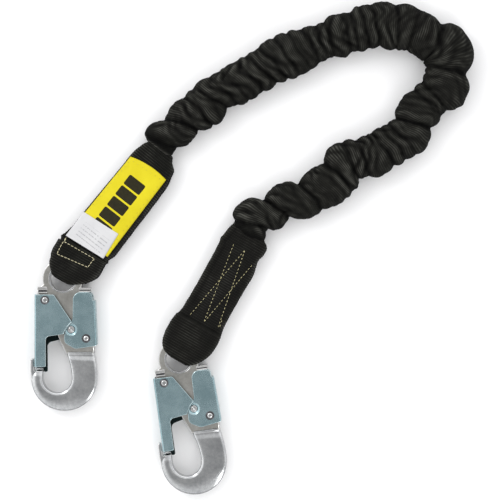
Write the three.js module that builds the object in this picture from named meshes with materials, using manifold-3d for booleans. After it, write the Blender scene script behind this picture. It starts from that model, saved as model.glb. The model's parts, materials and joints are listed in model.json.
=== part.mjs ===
// Shock absorbing lanyard: a gathered web sleeve over a tear-away core, sewn into a flat pack
// at each end, with a double-locking snap hook hanging in each web loop.
// Millimetres, +Z up, lying on the plane z = 0. The finished group is centred on the origin.
import * as THREE from "three";
import { mergeVertices } from "three/addons/utils/BufferGeometryUtils.js";
import Module from "manifold-3d";

const wasm = await Module();
wasm.setup();

// ---- driving dimensions ------------------------------------------------------------------
const GAP = 0.3; // air between two pieces that touch
const HOOK_Z = 9; // height of the hooks' middle plane

const ENDS = {
  left: { bore: [-162.3, -24.9], web: 61, hook: 0 }, // eye centre, web and hook directions
  right: { bore: [-61.8, -94.8], web: 60.5, hook: 7.7 },
};

const EYE = { bore: 11, outer: 17.5, half: 4.5 }; // the hook's eye and its half thickness
const BOWL_HALF = 6; // half thickness of the hook's bowl
const GATE = { pivot: [-15.1, -18.4], inner: 6.7, outer: 8, skin: 1.4 };
const LEVER = { pivot: [20.4, -51.7], inner: 5, outer: 6.3, skin: 1.4 };
const LEVER_PRESS = 10; // degrees that the lock lever travels
const LOCK_PIN = { at: [7.3, -44.1], shaft: 1.9, head: 3.2, low: 5.75, high: 6.5 };
const RIVET = { shaft: 2.5, hole: 2.75, head: 3.9 };
const SPRING = { mean: 4.3, wire: 0.5, pocket: 5.4, floor: 1 };

const LOOP = { half: 8, halfWidth: 22, nose: 1, bend: 31, end: 4.8, edge: 4 };
const PACK_HEIGHT = 14;
const SLEEVE = { width: 39, height: 26, wall: 2.6, steps: 34 };
const CORE = { width: 25, height: 4, tuck: 26 };
const ELASTIC = { width: 12, height: 2, offset: 6 };

// the sleeve's middle line, from the left pack to the right one
const ROUTE = [
  [-79.2, 86.4], [-68, 101], [-46, 121.5], [-21, 140], [7, 155.5], [35, 169.5], [63, 181.5],
  [93, 191], [124, 194], [149, 186.5], [165.5, 174], [169.5, 158.5], [156.5, 131.5],
  [137.5, 106], [114, 87], [85, 74], [62, 54], [33, 41], [9, 28], [-3.1, 8.7],
];

// ---- materials ---------------------------------------------------------------------------
const finish = (color, roughness, metalness) =>
  new THREE.MeshStandardMaterial({ color, roughness, metalness });
const WEB = finish(0x1c1d1a, 0.9, 0);
const CORE_WEB = finish(0xd8d2bd, 0.85, 0);
const ELASTIC_CORD = finish(0x2b2b2b, 0.8, 0);
const THREAD = finish(0xc9b98a, 0.8, 0);
const YELLOW = finish(0xf2df17, 0.6, 0);
const WHITE = finish(0xf0f0ee, 0.7, 0);
const STEEL = finish(0xb9bcbe, 0.28, 1);
const ZINC = finish(0x7fa3ab, 0.38, 1);
const SPRING_WIRE = finish(0x8d8f92, 0.35, 1);

// ---- shape helpers -----------------------------------------------------------------------
const lanyard = new THREE.Group();

function add(name, geometry, material, group = lanyard) {
  const mesh = new THREE.Mesh(geometry, material);
  mesh.name = name;
  group.add(mesh);
  return mesh;
}

// an outline from its corners [x, y, fillet radius], with a step of about 18 degrees round a fillet
function outline(corners) {
  const step = Math.PI / 10;
  const points = corners.flatMap(([x, y, r = 0], i) => {
    const at = new THREE.Vector2(x, y);
    const before = corners[(i + corners.length - 1) % corners.length];
    const after = corners[(i + 1) % corners.length];
    const toBefore = new THREE.Vector2(before[0], before[1]).sub(at).normalize();
    const toAfter = new THREE.Vector2(after[0], after[1]).sub(at).normalize();
    const opening = Math.acos(THREE.MathUtils.clamp(toBefore.dot(toAfter), -1, 1));
    const turn = Math.PI - opening;
    if (r === 0 || turn < step) return [at];
    const start = at.clone().addScaledVector(toBefore, r / Math.tan(opening / 2));
    const middle = toBefore.clone().add(toAfter).normalize();
    const centre = at.clone().addScaledVector(middle, r / Math.sin(opening / 2));
    const way = toBefore.cross(toAfter) > 0 ? -1 : 1;
    const steps = Math.ceil(turn / step);
    return Array.from({ length: steps + 1 }, (_, k) =>
      start.clone().rotateAround(centre, (way * turn * k) / steps),
    );
  });
  return new THREE.Shape(points);
}

// a flat plate between two heights
function plate(shape, low, high, curveSegments = 5) {
  const geometry = new THREE.ExtrudeGeometry(shape, {
    depth: high - low,
    bevelEnabled: false,
    curveSegments,
  });
  return geometry.translate(0, 0, low);
}

// an upright round bar between two heights
function bar([x, y], radius, low, high, sides = 24) {
  const geometry = new THREE.CylinderGeometry(radius, radius, high - low, sides);
  return geometry.rotateX(Math.PI / 2).translate(x, y, (low + high) / 2);
}

function block(x0, x1, y0, y1, z0, z1) {
  const geometry = new THREE.BoxGeometry(x1 - x0, y1 - y0, z1 - z0);
  return geometry.translate((x0 + x1) / 2, (y0 + y1) / 2, (z0 + z1) / 2);
}

function toSolid(geometry) {
  const bare = geometry.clone();
  bare.deleteAttribute("normal");
  bare.deleteAttribute("uv");
  const merged = mergeVertices(bare, 1e-4);
  return new wasm.Manifold(
    new wasm.Mesh({
      numProp: 3,
      vertProperties: new Float32Array(merged.attributes.position.array),
      triVerts: new Uint32Array(merged.index.array),
    }),
  );
}

function toGeometry(solid) {
  const mesh = solid.getMesh();
  const geometry = new THREE.BufferGeometry();
  geometry.setAttribute("position", new THREE.BufferAttribute(mesh.vertProperties, 3));
  geometry.setIndex(new THREE.BufferAttribute(mesh.triVerts, 1));
  geometry.computeVertexNormals();
  return geometry;
}

const join = (...pieces) => pieces.map(toSolid).reduce((a, b) => a.add(b));
const cut = (solid, ...tools) => tools.map(toSolid).reduce((a, b) => a.subtract(b), solid);

// a side outline of [along, height] corners swept across the web, as a solid
function acrossWeb(corners, halfWidth) {
  const geometry = plate(outline(corners), -halfWidth, halfWidth);
  // the outline's x runs along the web (+Y), its y is height (+Z), its depth runs across
  geometry.applyMatrix4(new THREE.Matrix4().set(0, 0, 1, 0, 1, 0, 0, 0, 0, 1, 0, 0, 0, 0, 0, 1));
  return geometry;
}

function turned([x, y], [cx, cy], degrees) {
  return new THREE.Vector2(x, y)
    .rotateAround(new THREE.Vector2(cx, cy), THREE.MathUtils.degToRad(degrees))
    .toArray();
}

// ---- snap hook, in its own frame: origin at the eye, +Y through the eye's top --------------
function hookBody() {
  const shank = outline([
    [-13, -3], [-21.2, -7.2, 1], [-21.9, -25.2, 6.6], [-12.5, -27.5, 4], [-3.6, -51.5],
    [3.3, -68], [27, -68], [27, -56], [17, -14], [17, -9], [13, -3],
  ]);
  const nose = [-27.6, -76.6];
  const bowlOuter = { centre: [1.3, -86.5], r: 28.7 };
  const bowlInner = { centre: [-5.6, -86], r: 13.3 };
  const bowl = new THREE.Shape();
  bowl.moveTo(27.3, -66.2);
  bowl.lineTo(30, -80);
  bowl.absarc(...bowlOuter.centre, bowlOuter.r, 0, -Math.PI, true);
  bowl.lineTo(...nose);
  bowl.quadraticCurveTo(-27.4, -69.6, -26, -69.4);
  bowl.quadraticCurveTo(-24.7, -69.6, -24.8, -72);
  bowl.lineTo(-24.8, -80.4);
  bowl.lineTo(-18.9, -80.6);
  bowl.absarc(...bowlInner.centre, bowlInner.r, Math.PI, 2 * Math.PI, false);
  bowl.quadraticCurveTo(7.2, -75, 3.3, -66.2);
  bowl.closePath();
  const leftTab = block(-21.9, -12.6, -11.5, -7.8, -6.4, 6.4);
  const rightTab = block(13.5, 24.2, -10.6, -7.4, -6.4, 6.4);
  const slotWidth = LOCK_PIN.shaft + 0.5;
  const slot = [0, 1 / 3, 2 / 3, 1].map((share) =>
    bar(turned(LOCK_PIN.at, LEVER.pivot, share * LEVER_PRESS), slotWidth, -9, 9, 16),
  );
  return cut(
    join(
      bar([0, 0], EYE.outer, -EYE.half, EYE.half, 36),
      plate(shank, -EYE.half, EYE.half),
      plate(bowl, -BOWL_HALF, BOWL_HALF, 9),
      leftTab,
      rightTab,
    ),
    bar([0, 0], EYE.bore, -9, 9, 32),
    bar(GATE.pivot, RIVET.hole, -9, 9, 16),
    bar(LEVER.pivot, RIVET.hole, -9, 9, 16),
    bar(GATE.pivot, SPRING.pocket, SPRING.floor, 9, 20),
    bar(LEVER.pivot, SPRING.pocket, SPRING.floor, 9, 20),
    ...slot,
  );
}

function gate() {
  const cheek = outline([
    [-24.2, -13.5, 1.5], [-7.3, -13.7, 2], [8.3, -37.4, 0.6], [4.4, -41.2, 3], [0.9, -48, 0.8],
    [-15.5, -50.1, 3], [-15.5, -76.6, 1.5], [-24.2, -76.6, 0.8],
  ]);
  return cut(
    toSolid(plate(cheek, -GATE.outer, GATE.outer, 4)),
    block(-24.2 + GATE.skin, 20, -90, 0, -GATE.inner, GATE.inner),
    bar(GATE.pivot, RIVET.hole, -9, 9, 16),
  );
}

function lockLever() {
  const cheek = outline([
    [9, -11.6, 6.5], [26, -11.6, 4.5], [26.1, -18.6, 0.4], [27.8, -18.8, 0.6],
    [29.6, -54, 1], [28.8, -58.4, 1.5], [11, -61, 7], [1.2, -55.5, 5.5], [1.6, -46.5, 4],
    [8.6, -35, 5],
  ]);
  const inside = outline([
    [-5, -5], [24.6, -5], [24.7, -18.6], [26.4, -20], [28.2, -54], [27.4, -70], [-5, -70],
  ]);
  const dish = 5.6;
  return cut(
    toSolid(plate(cheek, -LEVER.outer, LEVER.outer, 4)),
    plate(inside, -LEVER.inner, LEVER.inner),
    bar(LEVER.pivot, RIVET.hole, -9, 9, 16),
    bar(LOCK_PIN.at, LOCK_PIN.shaft + 0.25, -9, 9, 16),
    bar(LOCK_PIN.at, LOCK_PIN.head + 0.3, dish, 9, 20),
    bar(LOCK_PIN.at, LOCK_PIN.head + 0.3, -9, -dish, 20),
  );
}

// a rivet with a domed head over each cheek, turned about its own axis
function rivet([x, y], cheek, rise) {
  const top = cheek + GAP;
  const profile = [
    [0, -top - rise], [RIVET.head * 0.62, -top - rise * 0.8], [RIVET.head, -top - rise * 0.25],
    [RIVET.head, -top], [RIVET.shaft, -top], [RIVET.shaft, top], [RIVET.head, top],
    [RIVET.head, top + rise * 0.25], [RIVET.head * 0.62, top + rise * 0.8], [0, top + rise],
  ].map(([r, z]) => new THREE.Vector2(r, z));
  return new THREE.LatheGeometry(profile, 16).rotateX(Math.PI / 2).translate(x, y, 0);
}

function lockPin() {
  const { at, shaft, head, low, high } = LOCK_PIN;
  const profile = [
    [0, -high], [head * 0.8, -high], [head, -low - 0.3], [head, -low], [shaft, -low],
    [shaft, low], [head, low], [head, low + 0.3], [head * 0.8, high], [0, high],
  ].map(([r, z]) => new THREE.Vector2(r, z));
  return new THREE.LatheGeometry(profile, 16).rotateX(Math.PI / 2).translate(at[0], at[1], 0);
}

// a coiled torsion spring sitting in its pocket
class Coil extends THREE.Curve {
  constructor(turns, pitch, low) {
    super();
    Object.assign(this, { turns, pitch, low });
  }

  getPoint(t, target = new THREE.Vector3()) {
    const angle = t * this.turns * 2 * Math.PI;
    const height = this.low + t * this.turns * this.pitch;
    return target.set(SPRING.mean * Math.cos(angle), SPRING.mean * Math.sin(angle), height);
  }
}

function spring([x, y]) {
  const section = new THREE.Shape().absarc(0, 0, SPRING.wire, 0, 2 * Math.PI);
  const coil = new Coil(2, 1.2, SPRING.floor + GAP + SPRING.wire);
  const geometry = new THREE.ExtrudeGeometry(section, {
    steps: 28,
    curveSegments: 3,
    extrudePath: coil,
  });
  return geometry.translate(x, y, 0);
}

function addHook(side) {
  const { bore, hook } = ENDS[side];
  const group = new THREE.Group();
  group.position.set(bore[0], bore[1], HOOK_Z);
  group.rotation.z = THREE.MathUtils.degToRad(hook);
  lanyard.add(group);
  const gateRise = HOOK_Z - GATE.outer - GAP;
  add(`${side}_hook_body`, toGeometry(hookBody()), STEEL, group);
  add(`${side}_gate`, toGeometry(gate()), ZINC, group);
  add(`${side}_lock_lever`, toGeometry(lockLever()), ZINC, group);
  add(`${side}_gate_rivet`, rivet(GATE.pivot, GATE.outer, gateRise), STEEL, group);
  add(`${side}_lever_rivet`, rivet(LEVER.pivot, LEVER.outer, 1.5), STEEL, group);
  add(`${side}_lock_pin`, lockPin(), STEEL, group);
  add(`${side}_gate_spring`, spring(GATE.pivot), SPRING_WIRE, group);
  add(`${side}_lever_spring`, spring(LEVER.pivot), SPRING_WIRE, group);
}

// ---- web loop, in its own frame: origin at the eye, +Y along the web -----------------------
// the loop's block, drawn in by `inset`, before the eye ring is cut out of it
function loopBlock(inset) {
  const side = LOOP.halfWidth - inset;
  const nose = LOOP.nose + inset;
  const last = LOOP.bend - LOOP.end + LOOP.edge - inset;
  const high = LOOP.half - inset;
  const edge = LOOP.edge - inset;
  const plan = outline([[-side, last], [-side, nose, 17], [side, nose, 17], [side, last]]);
  const profile = [
    [nose, -high, 5.5], [EYE.outer, -high, 6], [last - edge, -edge, 1], [last, -edge, edge * 0.9],
    [last, edge, edge * 0.9], [last - edge, edge, 1], [EYE.outer, high, 6], [nose, high, 5.5],
  ];
  return toSolid(plate(plan, -12, 12, 8)).intersect(toSolid(acrossWeb(profile, 40)));
}

function eyeTunnel() {
  const half = EYE.half + 0.5;
  return cut(
    toSolid(bar([0, 0], EYE.outer + 0.6, -half, half, 36)),
    bar([0, 0], EYE.bore - 0.6, -20, 20, 32),
  );
}

function addLoop(side) {
  const { bore, web } = ENDS[side];
  const skin = 1.3;
  const group = new THREE.Group();
  group.position.set(bore[0], bore[1], HOOK_Z);
  group.rotation.z = THREE.MathUtils.degToRad(web - 90);
  lanyard.add(group);
  const outer = loopBlock(0).subtract(loopBlock(skin)).subtract(eyeTunnel());
  const liner = loopBlock(skin + GAP).subtract(eyeTunnel());
  add(`${side}_loop_web`, toGeometry(outer), WEB, group);
  add(`${side}_loop_liner`, toGeometry(liner), CORE_WEB, group);
}

// ---- sewn end packs ----------------------------------------------------------------------
function packGroup(side, direction) {
  const group = new THREE.Group();
  const [x, y] = ENDS[side].bore;
  group.position.set(x, y, 0);
  group.rotation.z = THREE.MathUtils.degToRad(direction - 90);
  lanyard.add(group);
  return group;
}

// the pack's block: its plan, rounded where the loop bends away from it
function packBlock(side, direction, plan) {
  const start = LOOP.bend + LOOP.end - LOOP.edge;
  const e = LOOP.edge;
  const profile = [
    [start, HOOK_Z - e, e * 0.9], [start + 2 * e, HOOK_Z - e, 1], [start + 4 * e, 0], [170, 0],
    [170, PACK_HEIGHT], [start + 3 * e, PACK_HEIGHT, 2], [start + 2 * e, HOOK_Z + e, 1],
    [start, HOOK_Z + e, e * 0.9],
  ];
  const slope = acrossWeb(profile, 60);
  slope.rotateZ(THREE.MathUtils.degToRad(ENDS[side].web - direction));
  return toSolid(plate(plan, 0, PACK_HEIGHT, 4)).intersect(toSolid(slope));
}

const LEFT_PACK = { direction: 52, end: 138.6, lean: -3 };
const RIGHT_PACK = { direction: 60.5, end: 117, lean: 0 };

// the pocket in a pack's end that the core is sewn into
function corePocket({ end, lean }) {
  const half = CORE.width / 2 + 0.6;
  const [low, high] = [7 - CORE.height / 2 - 0.6, 7 + CORE.height / 2 + 0.6];
  return block(lean - half, lean + half, end - CORE.tuck - 2, end + 5, low, high);
}

function addLeftPack() {
  const { direction, end, lean } = LEFT_PACK;
  const group = packGroup("left", direction);
  const plan = outline([
    [-26, 28], [-25, 38, 5], [-21.4, 52, 20], [-21, 122, 8], [lean - 15.5, 131, 6],
    [lean - 16, end], [lean + 16, end], [lean + 16, 132, 6], [21, 126, 4], [21.4, 50, 20],
    [17, 30],
  ]);
  const pack = cut(packBlock("left", direction, plan), corePocket(LEFT_PACK));
  add("left_end_pack", toGeometry(pack), WEB, group);
  const thick = 0.6;
  const floor = PACK_HEIGHT + GAP;
  const label = outline([[-19.5, 52], [-18.6, 119.5, 0.6], [18.3, 122, 0.6], [18.6, 52]]);
  add("identification_label", plate(label, floor, floor + thick), YELLOW, group);
  const tag = outline([[-20.6, 50], [-20.6, 56.5], [15.5, 60], [17, 50]]);
  const above = floor + thick + GAP;
  add("inspection_label", plate(tag, above, above + thick), WHITE, group);
}

// a row of stitching: raised thread along straight runs between points
function stitchLine(points, halfWidth, low, high) {
  const runs = points.slice(1).map((to, i) => {
    const from = points[i];
    const run = Math.hypot(to[0] - from[0], to[1] - from[1]);
    const piece = block(-halfWidth, run + halfWidth, -halfWidth, halfWidth, low, high);
    piece.rotateZ(Math.atan2(to[1] - from[1], to[0] - from[0]));
    return piece.translate(from[0], from[1], 0);
  });
  return join(...runs);
}

function addRightPack() {
  const { direction, end } = RIGHT_PACK;
  const group = packGroup("right", direction);
  const plan = outline([
    [-22.5, 28], [-22, 40, 8], [-18.8, 62, 20], [-19.6, 108, 5], [-16, end, 3], [16, end, 3],
    [20.5, 106, 6], [19, 60, 20], [22, 42, 8], [22.5, 28],
  ]);
  const pack = cut(packBlock("right", direction, plan), corePocket(RIGHT_PACK));
  add("right_end_pack", toGeometry(pack), WEB, group);
  const zigzag = [[-11, 40], [-9, 104], [0, 56], [8, 104], [11, 41]];
  const low = PACK_HEIGHT + GAP;
  add("zigzag_stitching", toGeometry(stitchLine(zigzag, 0.8, low, low + 0.8)), THREAD, group);
}

// the box stitch that closes the left loop, over the loop's upper face
function addBoxStitch() {
  const { bore, web } = ENDS.left;
  const group = new THREE.Group();
  group.position.set(bore[0], bore[1], HOOK_Z + LOOP.half + GAP);
  group.rotation.z = THREE.MathUtils.degToRad(web - 90);
  lanyard.add(group);
  const [x, low, high] = [14.5, 8.5, 15.5];
  const ring = [[-x, low], [x, low], [x, high], [-x, high], [-x, low]];
  add("box_stitching", toGeometry(stitchLine(ring, 0.7, 0, 0.8)), THREAD, group);
}

// ---- gathered sleeve and what runs inside it ---------------------------------------------
const routeAt = (height) =>
  new THREE.CatmullRomCurve3(ROUTE.map(([x, y]) => new THREE.Vector3(x, y, height)));

// along a level path a section's x is height and its y runs across
function alongRoute(section, height, steps, curveSegments) {
  return new THREE.ExtrudeGeometry(section, {
    steps,
    curveSegments,
    extrudePath: routeAt(height),
  });
}

function ellipse(width, height) {
  return new THREE.Shape().absellipse(0, 0, height / 2, width / 2, 0, 2 * Math.PI);
}

function strip(width, height, offset = 0) {
  const [x, y] = [height / 2, width / 2];
  return new THREE.Shape([
    new THREE.Vector2(offset - x, -y),
    new THREE.Vector2(offset + x, -y),
    new THREE.Vector2(offset + x, y),
    new THREE.Vector2(offset - x, y),
  ]);
}

function addSleeve() {
  const middle = SLEEVE.height / 2;
  const wall = 2 * SLEEVE.wall;
  const section = ellipse(SLEEVE.width, SLEEVE.height);
  section.holes.push(ellipse(SLEEVE.width - wall, SLEEVE.height - wall));
  add("outer_sleeve", alongRoute(section, middle, SLEEVE.steps, 6), WEB);
  const core = strip(CORE.width, CORE.height);
  add("energy_absorbing_core", alongRoute(core, middle, SLEEVE.steps, 1), CORE_WEB);
  ["upper", "lower"].forEach((name, i) => {
    const band = strip(ELASTIC.width, ELASTIC.height, i ? -ELASTIC.offset : ELASTIC.offset);
    add(`${name}_elastic_band`, alongRoute(band, middle, SLEEVE.steps, 1), ELASTIC_CORD);
  });
}

// ---- assembly ----------------------------------------------------------------------------
addSleeve();
addLeftPack();
addRightPack();
addBoxStitch();
for (const side of Object.keys(ENDS)) {
  addLoop(side);
  addHook(side);
}

lanyard.updateMatrixWorld(true);
const bounds = new THREE.Box3().setFromObject(lanyard, true);
const centre = bounds.getCenter(new THREE.Vector3());
lanyard.position.set(-centre.x, -centre.y, -bounds.min.z);

export default lanyard;
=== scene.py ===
"""Looks of the shock absorbing lanyard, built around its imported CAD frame.

Shapes are drawn in millimetres. Objects, lights and the camera are placed in metres.
"""
import functools
import json
import math

import bmesh
import bpy
import numpy as np
from mathutils import Matrix, Vector, noise


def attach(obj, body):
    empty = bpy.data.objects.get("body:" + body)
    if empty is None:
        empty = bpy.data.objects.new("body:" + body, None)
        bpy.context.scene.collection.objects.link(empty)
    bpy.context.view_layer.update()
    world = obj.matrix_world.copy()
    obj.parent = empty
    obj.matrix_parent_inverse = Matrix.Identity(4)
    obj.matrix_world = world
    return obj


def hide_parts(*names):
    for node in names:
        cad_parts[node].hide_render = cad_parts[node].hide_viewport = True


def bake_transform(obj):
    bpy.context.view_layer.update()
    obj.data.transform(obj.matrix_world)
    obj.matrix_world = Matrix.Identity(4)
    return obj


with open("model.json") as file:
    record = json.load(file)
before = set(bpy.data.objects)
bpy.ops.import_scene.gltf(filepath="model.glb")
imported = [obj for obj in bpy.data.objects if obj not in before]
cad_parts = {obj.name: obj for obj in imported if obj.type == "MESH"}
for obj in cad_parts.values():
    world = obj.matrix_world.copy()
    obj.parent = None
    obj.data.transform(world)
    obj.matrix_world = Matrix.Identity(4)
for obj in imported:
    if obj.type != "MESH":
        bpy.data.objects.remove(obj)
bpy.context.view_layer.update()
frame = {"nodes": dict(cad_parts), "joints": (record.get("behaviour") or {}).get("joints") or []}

MM = 0.001
JOINTS = {joint["name"]: joint for joint in frame["joints"]}


def add_object(name, data):
    made = bpy.data.objects.new(name, data)
    bpy.context.scene.collection.objects.link(made)
    return made


def make_mesh(name, points, faces):
    mesh = bpy.data.meshes.new(name)
    mesh.from_pydata(points, [], faces)
    return mesh


def evaluated(thing):
    """The object with its modifiers applied."""
    bpy.context.view_layer.update()
    return thing.evaluated_get(bpy.context.evaluated_depsgraph_get())


# ---- camera, floor and light --------------------------------------------------------------
CAMERA_PLACE = (0.0005, -0.0022, 1.25)
VIEW_WIDTH = 0.435  # metres seen across the picture at the hooks' middle plane
HOOK_Z = 0.009  # the hooks' middle plane
FLOOR_SIZE, FLOOR_Z = 6.0, -0.0004
SKY = 1.72  # brightness of the sky straight overhead
SKY_STOPS = ((0.0, 0.08), (0.2, 0.2), (0.34, 0.95), (0.52, 1.0), (0.78, 0.72), (0.97, 0.31))  # height, grey
SKY_LEAN = (-0.35, 0.55, 0.0)  # how much brighter each side of the sky is
LIGHTS = {  # place, size, watts
    "key": ((0.5, -0.92, 0.9), (0.35, 0.9), 4.5),
    "rim": ((-0.95, 0.7, 0.75), (0.3, 1.0), 4.0),
}


def place_camera():
    lens = bpy.data.cameras.new("camera")
    lens.sensor_width = 36.0
    lens.lens = lens.sensor_width * (CAMERA_PLACE[2] - HOOK_Z) / VIEW_WIDTH
    lens.clip_end = 20.0
    camera = add_object("camera", lens)
    camera.location = CAMERA_PLACE
    bpy.context.scene.camera = camera


def area_light(name, location, size, power):
    """A soft rectangular light that points at the middle of the floor."""
    data = bpy.data.lights.new(name, "AREA")
    data.shape = "RECTANGLE"
    data.size, data.size_y = size
    data.energy = power
    light = add_object(name, data)
    light.location = location
    light.rotation_euler = (-Vector(location)).to_track_quat("-Z", "Y").to_euler()


def light_the_studio():
    world = bpy.data.worlds.new("studio")
    bpy.context.scene.world = world
    world.use_nodes = True
    sky = Nodes(world.node_tree)
    sky.nodes.clear()
    direction = sky.node("TexCoord").outputs["Generated"]
    lean = sky.node("VectorMath", operation="DOT_PRODUCT")
    lean.inputs[1].default_value = SKY_LEAN
    sky.feed(lean.inputs[0], direction)
    stops = [(height, (grey, grey, grey * 1.01)) for height, grey in SKY_STOPS]
    background = sky.node("Background")
    sky.feed(background.inputs["Color"], sky.ramp(sky.split(direction)["Z"], stops))
    sky.feed(background.inputs["Strength"], sky.math("ADD", lean.outputs["Value"], SKY))
    sky.feed(sky.node("OutputWorld").inputs[0], background.outputs[0])
    for name, settings in LIGHTS.items():
        area_light(name, *settings)
    bpy.context.scene.view_settings.view_transform = "Standard"


def lay_floor():
    half = FLOOR_SIZE / 2
    corners = [(-half, -half, 0), (half, -half, 0), (half, half, 0), (-half, half, 0)]
    floor = add_object("floor", make_mesh("floor", corners, [(0, 1, 2, 3)]))
    floor.location.z = FLOOR_Z
    paper = Material("floor_paper", roughness=0.9)
    paper.colour_from(paper.noise(3.0, 4), [(0.0, (0.9, 0.9, 0.9)), (1.0, (0.94, 0.94, 0.94))])
    floor.data.materials.append(paper.finished())


# ---- materials ----------------------------------------------------------------------------
class Nodes:
    """A node tree, with short ways to add nodes and link them."""

    def __init__(self, tree):
        self.nodes, self.links = tree.nodes, tree.links

    def node(self, kind, **settings):
        made = self.nodes.new("ShaderNode" + kind)
        for key, value in settings.items():
            if key in made.inputs:
                made.inputs[key].default_value = value
            else:
                setattr(made, key, value)
        return made

    def feed(self, socket, value):
        """Gives an input its number or colour, or links it to an output."""
        if isinstance(value, (int, float)):
            socket.default_value = value
        elif isinstance(value, tuple):
            socket.default_value = (*value, 1)
        else:
            self.links.new(value, socket)

    def split(self, value):
        made = self.node("SeparateXYZ")
        self.feed(made.inputs[0], value)
        return made.outputs

    def math(self, operation, a, b=0.0):
        made = self.node("Math", operation=operation)
        for socket, value in zip(made.inputs, (a, b)):
            self.feed(socket, value)
        return made.outputs[0]

    def ramp(self, value, stops):
        made = self.node("ValToRGB")
        elements = made.color_ramp.elements
        while len(elements) < len(stops):
            elements.new(0.5)
        for element, (position, colour) in zip(elements, stops):
            element.position = position
            element.color = (*colour, 1)
        self.feed(made.inputs["Fac"], value)
        return made.outputs["Color"]


class Material(Nodes):
    """A material whose procedural nodes feed one Principled shader."""

    def __init__(self, name, **settings):
        self.material = bpy.data.materials.new(name)
        self.material.use_nodes = True
        super().__init__(self.material.node_tree)
        self.shader = self.nodes["Principled BSDF"]
        for key, value in settings.items():
            self.shader.inputs[key.replace("_", " ").title().replace("Ior", "IOR")].default_value = value
        self.height = None

    def mapped(self, where, **settings):
        mapping = self.node("Mapping", **settings)
        self.feed(mapping.inputs["Vector"], where)
        return mapping.outputs[0]

    def place(self, scale=(1, 1, 1), rotation=(0, 0, 0)):
        """The object's own coordinates, in metres."""
        return self.mapped(self.node("TexCoord").outputs["Object"], Scale=scale, Rotation=rotation)

    def web_place(self, scale=(1, 1, 1)):
        """The web's own coordinates: millimetres along and across it."""
        return self.mapped(self.node("UVMap", uv_map="web").outputs[0], Scale=scale)

    def noise(self, scale, detail=3, at=None, roughness=0.55):
        made = self.node("TexNoise", Scale=scale, Detail=detail, Roughness=roughness)
        self.feed(made.inputs["Vector"], at or self.place())
        return made.outputs["Fac"]

    def wave(self, scale, at, distortion=0.0, direction="X"):
        made = self.node("TexWave", Scale=scale, Distortion=distortion, Detail=2.0)
        made.bands_direction = direction
        self.feed(made.inputs["Vector"], at)
        return made.outputs["Fac"]

    def mix(self, factor, a, b):
        made = self.node("Mix", data_type="RGBA")
        for index, value in ((0, factor), (6, a), (7, b)):
            self.feed(made.inputs[index], value)
        return made.outputs[2]

    def sum(self, a, share_a, b, share_b):
        return self.math("ADD", self.math("MULTIPLY", a, share_a), self.math("MULTIPLY", b, share_b))

    def colour(self, value):
        self.feed(self.shader.inputs["Base Color"], value)

    def colour_from(self, value, stops):
        self.colour(self.ramp(value, stops))

    def roughness(self, value, low, high):
        """Roughness from low to high as the value goes from 0 to 1."""
        spread = self.math("ADD", self.math("MULTIPLY", value, high - low), low)
        self.feed(self.shader.inputs["Roughness"], spread)

    def bump(self, value, distance):
        made = self.node("Bump", Strength=1.0, Distance=distance)
        self.feed(made.inputs["Height"], value)
        if self.height is not None:
            self.feed(made.inputs["Normal"], self.height)
        self.height = made.outputs["Normal"]

    def finished(self):
        if self.height is not None:
            self.feed(self.shader.inputs["Normal"], self.height)
        return self.material


RIB_PITCH = 2.15  # of the web, along it
PICK_PITCH = 1.1  # of the yarns in a rib, across the web
RIB_HIGHLIGHT_PATCHES = {"From Min": 0.42, "From Max": 0.66, "To Min": 0.22, "To Max": 1.0}  # painted highlights on the rib tops, clear in patches


def bands(pitch):
    """The wave texture's scale that gives one band to each pitch."""
    return math.pi / (10 * pitch)


def black_web():
    """Ribbed tubular nylon: ribs run across the web, each a row of twisted picks. Its colour carries
    painted shade in its folds and on its side-facing faces, and painted highlights on its rib tops.
    """
    m = Material("black_web", roughness=0.75, specular_ior_level=0.06)
    at = m.web_place()
    ribs = m.wave(bands(RIB_PITCH), at)
    picks = m.wave(bands(PICK_PITCH), at, direction="Y")
    fold = m.node("Attribute", attribute_name="fold").outputs["Fac"]
    patches = m.noise(42, 3)
    seen = m.node("MapRange", **RIB_HIGHLIGHT_PATCHES)
    m.feed(seen.inputs["Value"], patches)
    # the rib tops are painted lighter, more clearly in some patches: painted highlight
    rib_highlight = m.math("MULTIPLY", m.math("POWER", ribs, 1.5), seen.outputs[0])
    light = m.math("ADD", m.sum(rib_highlight, 0.66, m.noise(230, 2), 0.35), 0.19)
    # the fold value darkens the colour: painted shade in the folds and on side-facing faces
    light = m.math("MULTIPLY", light, m.math("POWER", fold, 1.4))
    m.colour_from(light, [(0.0, (0.0012, 0.0012, 0.0011)), (0.24, (0.012, 0.012, 0.0102)),
                          (0.8, (0.072, 0.072, 0.063))])
    m.roughness(patches, 0.68, 0.85)
    m.bump(ribs, 0.0003)
    m.bump(picks, 0.00006)
    return m.finished()


def core_web():
    """Undyed strap of the energy absorber: a coarse herringbone."""
    m = Material("core_web", roughness=0.85)
    at = m.place()
    warp = m.wave(bands(0.0018), at, distortion=1.5, direction="X")
    weft = m.wave(bands(0.0011), at, distortion=1.5, direction="Y")
    weave = m.math("MULTIPLY", warp, weft)
    m.colour_from(weave, [(0.1, (0.42, 0.38, 0.28)), (0.7, (0.72, 0.67, 0.53))])
    m.bump(weave, 0.0003)
    return m.finished()


def elastic():
    """Covered rubber band with fine lengthwise ribs."""
    m = Material("elastic", roughness=0.8, specular_ior_level=0.06)
    ribs = m.wave(bands(0.0012), m.place(), distortion=0.6, direction="DIAGONAL")
    m.colour_from(ribs, [(0.1, (0.005, 0.005, 0.0045)), (0.8, (0.022, 0.022, 0.02))])
    m.bump(ribs, 0.0002)
    return m.finished()


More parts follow.
